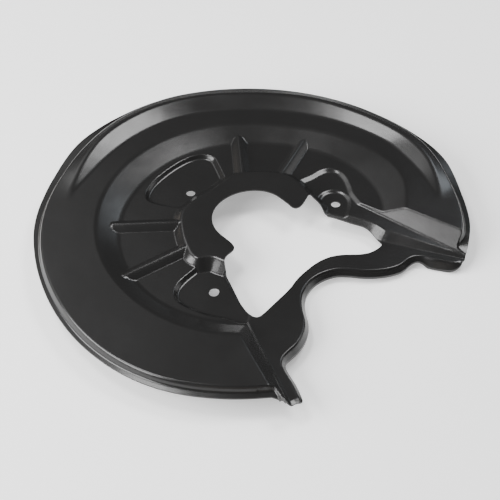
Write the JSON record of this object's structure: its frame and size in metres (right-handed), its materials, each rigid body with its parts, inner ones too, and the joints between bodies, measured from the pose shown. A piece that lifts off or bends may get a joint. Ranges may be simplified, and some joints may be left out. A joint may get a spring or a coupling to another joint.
{
  "type": "brake dust shield",
  "caption": "Pressed-steel brake backing shield: dished ring with a rolled rim, bolt seats round a hub opening, and a lowered strap under the caliper gap.",
  "frame": {"origin": "centre of the bounding box in plan, at the level of the lowest point; the hub axis passes 0.77 mm along +X and 8.03 mm along +Y from it", "axes": "+Z along the wheel axis, out of the raised side of the ring; +Y from the hub towards the closed side of the ring, away from the strap's tail"},
  "size_m": [0.3072, 0.317, 0.0266],
  "materials": {
    "coated_steel": "gloss"
  },
  "bodies": {
    "root": {"dust_shield": "coated_steel"}
  },
  "joints": []
}
